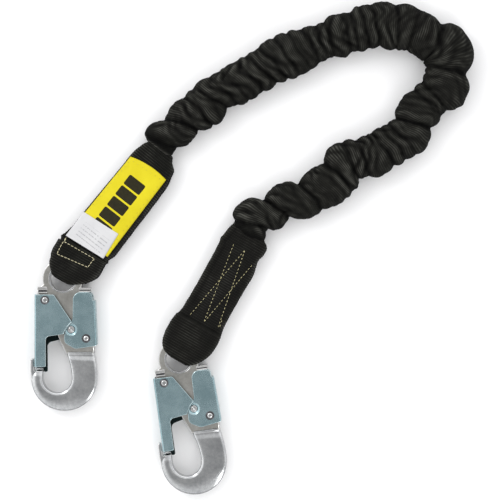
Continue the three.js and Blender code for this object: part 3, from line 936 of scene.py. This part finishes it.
LABEL_CORNERS = [(31.5, -20.6), (38.9, 19), (122.6, 17.9), (119.6, -18.8)]
TAG_CORNERS = [(31.2, -20.9), (35.4, 17.2), (60.3, 14.3), (56.9, -21.4)]
LABEL_BOW = 2.3  # the far end of the yellow label is curved
BOX = [(16.6, -14.4), (19.4, 14.6), (28.8, 15.4), (28.6, -15.2)]
BOX_TAILS = [((28.6, -15.2), (33, -16.4)), ((29.2, -15), (31.5, -15.4))]
LABEL_HEM = [((63, 16), (120, 15.6)), ((120, 15.2), (117.6, -16.4)), ((117, -17), (60, -18.6)),
             ((41, 16.6), (62, 16.4))]
ZIGZAG_TOPS = [(111, -7.8), (110.8, 3.3), (102.9, 15.2)]
ZIGZAG_FEET = [(38, -10.5), (38.8, 3.1), (40.5, 16.2)]
ZIGZAG_TAIL = (41, 17.4), (49, 15.6)


def left_details():
    label = sheet_on_web("yellow_label_cloth", LABEL_CORNERS, 0.4, 0.45, label_cloth(), LABEL_BOW)
    sew_on(label, "left", "yellow_label", "identification_label")
    tag = sheet_on_web("white_record_label", TAG_CORNERS, 1.0, 0.3, label_paper())
    sew_on(tag, "left", "white_label", "inspection_label")
    cream = thread("cream_thread", (0.42, 0.37, 0.2), (0.8, 0.74, 0.5))
    runs = [*zip(BOX, BOX[1:] + BOX[:1]), *BOX_TAILS]
    box = stitches("box_stitches", "left", runs, 3.4, 2.6, 0.25, 0.08, cream)
    sew_on(box, "left", "thread", "box_stitching")
    ochre = thread("label_thread", (0.3, 0.25, 0.03), (0.55, 0.48, 0.06))
    hem = stitches("label_stitches", "left", LABEL_HEM, 4.6, 1.2, 0.2, 0.85, ochre)
    sew_on(hem, "left", "thread")


def right_details():
    tan = thread("tan_thread", (0.33, 0.29, 0.13), (0.72, 0.66, 0.38))
    runs = [(ZIGZAG_TOPS[i], ZIGZAG_FEET[j]) for i, j in ((0, 1), (1, 0), (1, 2), (2, 1))]
    rows = stitches("zigzag_stitches", "right", [*runs, ZIGZAG_TAIL], 3.3, 1.9, 0.21, 0.06, tan)
    sew_on(rows, "right", "thread", "zigzag_stitching")


def make_webs(web):
    for side in ("left", "right"):
        body = web_body(side, web)
        bake_fold_shade(body, 2.6)
        sew_on(body, side, "black_web", f"{side}_end_pack", f"{side}_loop_web")
    left_details()
    right_details()


# ---- snap hooks, in the hook's frame: millimetres from the eye, +Y through the eye's top ------
HOOK_TURN = {"left": 0.0, "right": 7.7}
REACH = {"left": 1.0, "right": 1.07}  # how much longer the bowl is seen than the smaller hook's
REACH_FROM = -62.0  # the bowl's end of the lever
EYE_BORE, EYE_OUTER, EYE_HALF, BOWL_HALF = 11.0, 17.5, 4.5, 6.0
GATE_RIVET, LEVER_RIVET, LOCK_PIN = (-15.1, -18.4), (20.4, -51.7), (7.3, -44.1)
GATE_PLATE, LEVER_PLATE = (6.7, 8.0), (5.0, 6.3)  # inner and outer faces of the cheeks
WORN, CHANNEL_SHADE = 1, 2  # a plate's materials after its first: for its edges, and a dark painted shade for the inside of a channel
NOSE = [(-28.0, -69.2, 1.2), (-25.3, -69.5, 1.1), (-24.9, -79.2, 0.8), (-21, -80.4),
        (-21, -88), (-27.2, -88), (-28.2, -80, 6)]
# the bars beside the eye: left, right, top, depth of the bar, of the slot under it and of the sill
TABS = [
    (-21.9, -13.2, -6.9, 3.0, 1.5, 1.3),
    (14.0, 24.0, -7.8, 1.8, 0.9, 1.1),
]


def rounded(corners, step=6.0):
    """An outline's points from its corners (x, y, fillet radius), a few degrees apart round each fillet."""
    points = []
    for i, corner in enumerate(corners):
        at = Vector(corner[:2])
        radius = corner[2] if len(corner) > 2 else 0
        to_before = (Vector(corners[i - 1][:2]) - at).normalized()
        to_after = (Vector(corners[(i + 1) % len(corners)][:2]) - at).normalized()
        opening = to_before.angle(to_after)
        turn = math.pi - opening
        if radius == 0 or turn < math.radians(step):
            points.append(tuple(at))
            continue
        start = at + to_before * radius / math.tan(opening / 2)
        centre = at + (to_before + to_after).normalized() * radius / math.sin(opening / 2)
        way = -1 if to_before.cross(to_after) > 0 else 1
        steps = max(2, math.ceil(turn / math.radians(step)))
        for k in range(steps + 1):
            spoke = start - centre
            spoke.rotate(Matrix.Rotation(way * turn * k / steps, 2))
            points.append(tuple(centre + spoke))
    return points


def circle(centre, radius, count=64, start=0.0, stop=360.0):
    angles = np.radians(np.linspace(start, stop, count, endpoint=stop - start < 360))
    return [(centre[0] + radius * math.cos(a), centre[1] + radius * math.sin(a)) for a in angles]


def slab(outlines, low, high, bevel):
    """A plate with rounded edges between two heights: the first outline is its edge, the others holes."""
    curve = bpy.data.curves.new("slab", "CURVE")
    curve.dimensions = "2D"
    curve.fill_mode = "BOTH"
    for outline in outlines:
        spline = curve.splines.new("POLY")
        spline.points.add(len(outline) - 1)
        for point, (x, y) in zip(spline.points, outline):
            point.co = (x, y, 0, 1)
        spline.use_cyclic_u = True
    curve.extrude = (high - low) / 2 - bevel
    curve.bevel_depth = bevel
    curve.bevel_resolution = 3
    curve.offset = -bevel
    holder = add_object("slab", curve)
    mesh = bpy.data.meshes.new_from_object(evaluated(holder))
    bpy.data.objects.remove(holder)
    bpy.data.curves.remove(curve)
    for face in mesh.polygons:
        if 0.15 < abs(face.normal.z) < 0.98:
            face.material_index = WORN
    mesh.transform(Matrix.Translation((0, 0, (low + high) / 2)))
    return mesh


TURNED_SIDES = 48


def turned_part(centre, profile):
    """A solid of revolution about an upright axis, from (radius, height) points."""
    points, faces = [], []
    for r, z in profile:
        points += [(x, y, z) for x, y in circle(centre, max(r, 0.001), TURNED_SIDES)]
    for i in range(len(profile) - 1):
        for j in range(TURNED_SIDES):
            a, b = i * TURNED_SIDES, (i + 1) * TURNED_SIDES
            k = (j + 1) % TURNED_SIDES
            faces.append((a + j, a + k, b + k, b + j))
    return make_mesh("turned", points, faces)


def hook_piece(name, meshes, materials, side, body, slot, *replaced):
    """One visible piece of a hook, from meshes in the hook's frame."""
    whole = bmesh.new()
    for mesh in meshes:
        whole.from_mesh(mesh)
        bpy.data.meshes.remove(mesh)
    bmesh.ops.remove_doubles(whole, verts=whole.verts, dist=0.002)
    bmesh.ops.recalc_face_normals(whole, faces=whole.faces)
    for vertex in whole.verts:
        below = min(vertex.co.y - REACH_FROM, 0)
        vertex.co.y += below * (REACH[side] - 1)
    place = Matrix.Translation(EYES[side]) @ Matrix.Rotation(math.radians(HOOK_TURN[side]), 4, "Z")
    whole.transform(place @ Matrix.Scale(MM, 4))
    mesh = bpy.data.meshes.new(f"{side}_{name}")
    whole.to_mesh(mesh)
    whole.free()
    for material in materials:
        mesh.materials.append(material)
    mesh.shade_smooth()
    made = add_object(f"{side}_{name}", mesh)
    weighted = made.modifiers.new("flat faces stay flat", "WEIGHTED_NORMAL")
    weighted.weight = 80
    weighted.keep_sharp = True
    apply_modifiers(made)
    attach(made, f"{side}_{body}")
    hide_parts(*(f"{side}_{node}" for node in replaced))


def shank():
    """The flat of the hook: the eye's ring and the plate that carries the gate and the lever."""
    ring = circle((0, 0), EYE_OUTER, 60, -24.8, 196.4)
    plate = rounded([(-21.2, -7.2, 1), (-21.9, -25.2, 6.6), (-12.5, -27.5, 4), (-3.6, -51.5, 2),
                     (2.9, -65), (27, -65), (27, -56, 3), (17, -14, 3), (17, -9, 0.5)])
    return slab([ring + plate, circle((0, 0), EYE_BORE)], -EYE_HALF, EYE_HALF, 0.9)


# its rim: mm in from the edge, and height
BOWL_RIM = [(0.0, 3.0), (0.15, 4.1), (0.5, 4.7), (1.45, 5.2), (1.65, 5.08), (1.85, 5.3)]
BOWL_CROWN = 15  # points across the face
HEEL = (0.7, 0.89, 0.94, 1.0), (BOWL_HALF, 4.65, 5.2, 5.2)  # its height where it rises from the flat shank
NOSE_SLOPE = 0.3  # how it rises from the nose
FOOT_FROM, FOOT_DROP, FOOT_REACH = -92.0, 2.4, 23  # the face falls away towards the bottom of the bend
HEEL_OUTER = Vector((30, -86.5)), Vector((30.2, -78)), Vector((27.2, -63.5))  # the heel's edges, as curves
HEEL_INNER = Vector((7.7, -86)), Vector((7.2, -75)), Vector((2.6, -63.5))


def bowl_section(outside, inside, half):
    """Points round the thick end: a square rim, a chamfer, a fine groove and a slightly crowned face."""
    across = inside - outside
    width = across.length
    across.normalize()
    below = BOWL_HALF - half
    first, low = BOWL_RIM[-1][0] + 0.2, BOWL_RIM[-1][1] + 0.12
    upper = list(BOWL_RIM)
    for t in np.linspace(0, 1, BOWL_CROWN):
        rise = (BOWL_HALF - low) * (1 - abs(2 * t - 1) ** 2.0)
        upper.append((first + (width - 2 * first) * t, low + rise))
    upper += [(width - d, z) for d, z in reversed(BOWL_RIM)]
    section = []
    for d, z in upper:
        at = outside + across * d
        foot = max(FOOT_FROM - at.y, 0) / FOOT_REACH
        section.append((*at, z - below - FOOT_DROP * foot * foot))
    return section + [(x, y, -z) for x, y, z in reversed(section)]


def on_curve(start, middle, end, t):
    return start.lerp(middle, t).lerp(middle.lerp(end, t), t)


def bowl():
    """The thick curved end: sections between an outer and an inner edge, from the nose to the shank."""
    outer, outer_r, inner, inner_r = Vector((1.3, -86.5)), 28.7, Vector((-4.8, -86.5)), 12.5
    stations = [(Vector((-26.6, -79.2)), Vector((-18.4, -79.2)), 3.4)]
    for y in np.linspace(-79.5, -86.5, 8)[:-1]:
        half = min(BOWL_HALF, 4.5 + (-79.5 - y) * NOSE_SLOPE)
        stations.append((Vector((-27.4, y)), Vector((-17.3, y)), half))
    for angle in np.radians(np.linspace(180, 360, 61)):
        spoke = Vector((math.cos(angle), math.sin(angle)))
        stations.append((outer + spoke * outer_r, inner + spoke * inner_r, BOWL_HALF))
    for t in np.linspace(0, 1, 30)[1:]:
        half = float(np.interp(t, *HEEL))
        stations.append((on_curve(*HEEL_OUTER, t), on_curve(*HEEL_INNER, t), half))
    points = []
    for station in stations:
        points += bowl_section(*station)
    return make_mesh("bowl", points, ring_faces(len(stations), len(points) // len(stations)))


def hook_body(side, steel):
    hook_piece("hook_shank", [shank()], steel["flat"], side, "hook", "hook_steel", "hook_body")
    rim = [circle((0, 0), EYE_BORE + 1.5, 96), circle((0, 0), EYE_BORE - 0.05, 96)]
    parts = [bowl(), slab([rounded(NOSE)], -5.0, 5.0, 1.0),
             slab(rim, -EYE_HALF - 0.35, EYE_HALF + 0.35, 0.35)]
    tabs, painted_slot_shades = [], []
    for x0, x1, top, bar, gap, sill in TABS:
        foot = top - bar - gap
        for y, deep, high in ((top - bar, bar, 6.4), (foot - sill, sill, 6.0)):
            corners = [(x0, y, 0.5), (x1, y, 0.5), (x1, y + deep, 0.5), (x0, y + deep, 0.5)]
            tabs.append(slab([rounded(corners)], -high, high, 0.45))
        # a thin dark sheet just over the flat, in the slot under each bar: painted shade
        left, right, low, high = x0 + 0.6, x1 - 0.6, foot - 0.3, top - bar + 0.3
        slot = [(left, low), (right, low), (right, high), (left, high)]
        painted_slot_shades.append(slab([slot], -EYE_HALF - 0.3, EYE_HALF + 0.3, 0.2))
    hook_piece("hook_bowl", parts, steel["polished"], side, "hook", "hook_steel")
    hook_piece("hook_tabs", tabs, steel["tabs"], side, "hook", "hook_steel")
    hook_piece("tab_slot_shade", painted_slot_shades, steel["slot"], side, "hook", "hook_steel")


FOLD_RADIUS = 1.6
FOLD_CUTS = 8
PLATE_BEVEL = 0.58


def folded_plate(outline, holes, fold, inner, outer):
    """One half of a pressed channel: a flat cheek whose far edge is bent down past the fold line.

    The fold line runs between two points on the cheek. "wall" or "wall back" in the outline stands for the
    two far corners of the part that is bent down, in the order of the fold line or against it.
    """
    start, end = (Vector(point) for point in fold)
    along = (end - start).normalized()
    out = Vector((-along.y, along.x))
    if out.x * start.x < 0:
        out = -out
    neutral = FOLD_RADIUS - (outer - inner) / 2
    arc = neutral * math.pi / 2
    reach = arc + outer - FOLD_RADIUS + 0.15
    flap = [tuple(start + out * reach), tuple(end + out * reach)]
    walls = {"wall": flap, "wall back": flap[::-1]}
    flat = [point for corner in outline for point in walls.get(corner, [corner])]
    mesh = slab([rounded(flat)] + holes, inner, outer, PLATE_BEVEL)
    whole = bmesh.new()
    whole.from_mesh(mesh)
    bpy.data.meshes.remove(mesh)
    for cut in range(FOLD_CUTS + 1):
        at = start + out * arc * cut / FOLD_CUTS
        everything = whole.verts[:] + whole.edges[:] + whole.faces[:]
        bmesh.ops.bisect_plane(whole, geom=everything, plane_co=(*at, 0), plane_no=(*out, 0))
    for vertex in whole.verts:
        flat_place = Vector(vertex.co[:2])
        past = (flat_place - start).dot(out)
        if past <= 0:
            continue
        radius = FOLD_RADIUS - (outer - vertex.co.z)
        angle = min(past / neutral, math.pi / 2)
        down = max(past - arc, 0)
        foot = flat_place - out * past
        vertex.co = (*(foot + out * radius * math.sin(angle)),
                     outer - FOLD_RADIUS + radius * math.cos(angle) - down)
    folded = bpy.data.meshes.new("folded")
    whole.to_mesh(folded)
    whole.free()
    return folded


def mirrored(mesh):
    mesh.transform(Matrix.Scale(-1, 4, (0, 0, 1)))
    mesh.flip_normals()
    return mesh


GATE_FOLD = (-22.6, -13.5), (-22.6, -76.4)
GATE_BACK_FOLD = GATE_FOLD[0], (-22.6, -78.6)
GATE_TOP = ["wall back", (-7.3, -13.7, 2), (8.3, -37.4, 0.7), (4.4, -41.2, 3)]
GATE_FRONT = [(0.9, -48, 1.2), (-14.3, -50.1, 3.4), (-14.3, -76.4, 1.8)]
GATE_BACK = [(1.4, -52.4, 1.4), (-6, -54, 2), (-14.9, -56.2, 4.6), (-14.6, -81.6, 1.6),
             (-17.8, -81.8, 1.2), (-18.6, -78.6, 1)]


def gate_parts(side, zinc):
    meshes = [
        folded_plate(GATE_TOP + GATE_FRONT, [], GATE_FOLD, *GATE_PLATE),
        mirrored(folded_plate(GATE_TOP + GATE_BACK, [], GATE_BACK_FOLD, *GATE_PLATE)),
    ]
    # faces of each cheek turned in towards the channel's middle take a near-black material: painted shade
    # inside the channel
    for mesh in meshes:
        for face in mesh.polygons:
            if face.normal.z * face.center.z < -0.15 * abs(face.center.z):
                face.material_index = CHANNEL_SHADE
    hook_piece("gate_channel", meshes, zinc, side, "gate", "zinc_plate", "gate")


LEVER_FOLD = (26.4, -18.9), (28.0, -55.5)
LEVER_CHEEK = [(9, -11.6, 6.5), (25.6, -11.6, 4.5), (26.0, -18.6, 0.4), "wall", (27.8, -58.4, 1.5),
               (11, -61, 7), (1.2, -55.5, 5.5), (1.6, -46.5, 4), (8.6, -35, 5)]
LEVER_HOLE = 4.9
# radius and height of the dimple round the lock pin, and of the pin
DISH = [(5.2, 6.0), (5.0, 6.24), (4.6, 6.12), (3.9, 5.75), (3.2, 5.4), (2.2, 5.2), (2.2, 4.9),
        (5.2, 4.9), (5.2, 6.0)]
PIN = [(0.001, 5.3), (1.35, 5.4), (1.35, 6.2), (1.7, 6.45), (2.3, 6.55), (2.85, 6.4), (3.05, 6.0),
       (3.05, 5.3), (1.9, 5.1)]


def mirrored_profile(profile):
    """A turned part's profile with its lower half, which mirrors the upper."""
    return profile + [(r, -z) for r, z in reversed(profile)]


def lever_parts(side, zinc, bright):
    hole = circle(LOCK_PIN, LEVER_HOLE, 48)
    cheeks = [folded_plate(LEVER_CHEEK, [hole], LEVER_FOLD, *LEVER_PLATE) for _ in range(2)]
    mirrored(cheeks[1])
    hook_piece("lever_channel", cheeks, zinc, side, "lever", "zinc_plate", "lock_lever")
    dimples = [turned_part(LOCK_PIN, [(r, way * z) for r, z in DISH]) for way in (1, -1)]
    hook_piece("lever_dimples", dimples, zinc[:1] * 2, side, "lever", "zinc_plate")
    pin = turned_part(LOCK_PIN, mirrored_profile(PIN))
    hook_piece("lock_pin_head", [pin], bright, side, "lever", "rivet_steel", "lock_pin")


def rivet_profile(top, rise):
    """A domed rivet's heads and shank."""
    return mirrored_profile([
        (0.001, top + rise), (0.9, top + rise * 0.97), (1.6, top + rise * 0.84), (2.15, top + rise * 0.6),
        (2.5, top + rise * 0.3), (2.62, top + 0.02), (2.55, top - 0.2),
    ])


def shade_ring_profile(top):
    """A dark ring round a rivet's head, above and below: painted shadow where the head meets the plate."""
    return mirrored_profile([
        (2.4, top - 0.15), (2.7, top + 0.03), (3.15, top + 0.05), (3.3, top + 0.3), (3.65, top + 0.28),
        (3.85, top + 0.05), (3.85, top - 0.2),
    ])


# each rivet with its place, its plate and how high its head stands
RIVETS = [("gate", GATE_RIVET, GATE_PLATE, 0.8), ("lever", LEVER_RIVET, LEVER_PLATE, 1.3)]


def make_hooks():
    worn_steel = metal("worn_nickel_edge", (0.5, 0.5, 0.49), (0.75, 0.75, 0.74), (0.16, 0.26), 700)
    worn_zinc = metal("worn_zinc_edge", (0.42, 0.52, 0.54), (0.7, 0.78, 0.79), (0.16, 0.26), 900)
    flat = metal("tumbled_nickel", (0.27, 0.265, 0.245), (0.52, 0.515, 0.485), (0.28, 0.38), 700)
    polished = metal("polished_nickel", (0.36, 0.37, 0.38), (0.6, 0.61, 0.61), (0.1, 0.18), 350, 0.00001)
    wire = metal("spring_wire", (0.05, 0.05, 0.055), (0.14, 0.14, 0.145), (0.3, 0.4), 900)
    # near-black metal for the inside of the gate's channel: painted shade
    inside = metal("painted_channel_shade", (0.006, 0.012, 0.012), (0.02, 0.032, 0.032), (0.5, 0.6), 900)
    plated = metal("zinc_plate", (0.19, 0.3, 0.325), (0.42, 0.55, 0.585), (0.22, 0.32), 1100)
    bright = metal("bright_steel", (0.3, 0.31, 0.31), (0.62, 0.62, 0.62), (0.1, 0.2), 500, 0.00001)
    # the dark sheets in the tab slots use the spring wire's dark metal: painted shade
    steel = {"flat": (flat, worn_steel), "polished": (polished, worn_steel),
             "tabs": (worn_steel, worn_steel), "slot": (wire, wire)}
    for side in ("left", "right"):
        hook_body(side, steel)
        gate_parts(side, (plated, worn_zinc, inside))
        lever_parts(side, (plated, worn_zinc, inside), (bright, bright))
        for name, centre, plate, rise in RIVETS:
            top = plate[1] + 0.05
            rivet = f"{name}_rivet"
            head = turned_part(centre, rivet_profile(top, rise))
            hook_piece(f"{rivet}_head", [head], (bright, bright), side, "hook", "rivet_steel", rivet)
            # the dark ring round each rivet head is painted shadow
            shade_ring = turned_part(centre, shade_ring_profile(top))
            hook_piece(f"{rivet}_seat", [shade_ring], (wire, wire), side, "hook", "rivet_steel")
        for node in ("gate_spring", "lever_spring"):
            dress(f"{side}_{node}", wire)


def dress(node, material):
    thing = frame["nodes"][node]
    thing.data.materials.clear()
    thing.data.materials.append(material)


def dress_liners():
    material = elastic()
    for side in ("left", "right"):
        dress(f"{side}_loop_liner", material)


place_camera()
light_the_studio()
lay_floor()
web_cloth = black_web()
make_sleeve(web_cloth)
make_inner_straps()
make_webs(web_cloth)
make_hooks()
dress_liners()
